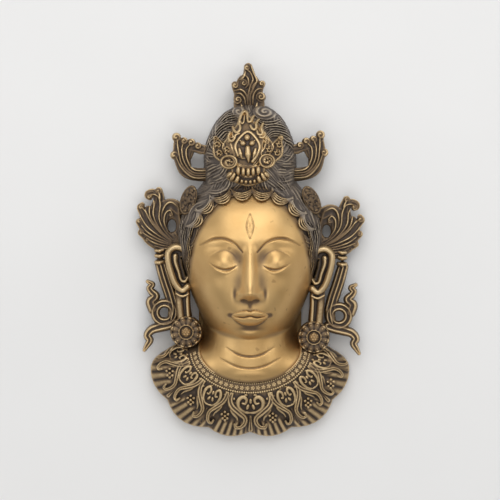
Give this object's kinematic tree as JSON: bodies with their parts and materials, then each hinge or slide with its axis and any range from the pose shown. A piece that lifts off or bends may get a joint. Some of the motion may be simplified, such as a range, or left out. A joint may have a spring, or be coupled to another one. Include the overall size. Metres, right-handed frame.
{
  "type": "cast wall mask",
  "caption": "Hollow-cast bronze mask of a crowned deity with a calm face, topknot, flaming jewel crown, scroll leaves, ribbons and a scalloped collar; the open back lies flat.",
  "frame": {"origin": "middle of the back rim's plane, under the centre of the overall box", "axes": "+X to the viewer's right, +Y to the crown, +Z out of the face"},
  "size_m": [0.2004, 0.3292, 0.0908],
  "materials": {
    "bronze": "polished on the face, dark patina in the carving"
  },
  "bodies": {
    "root": {"mask": "bronze"}
  },
  "joints": []
}
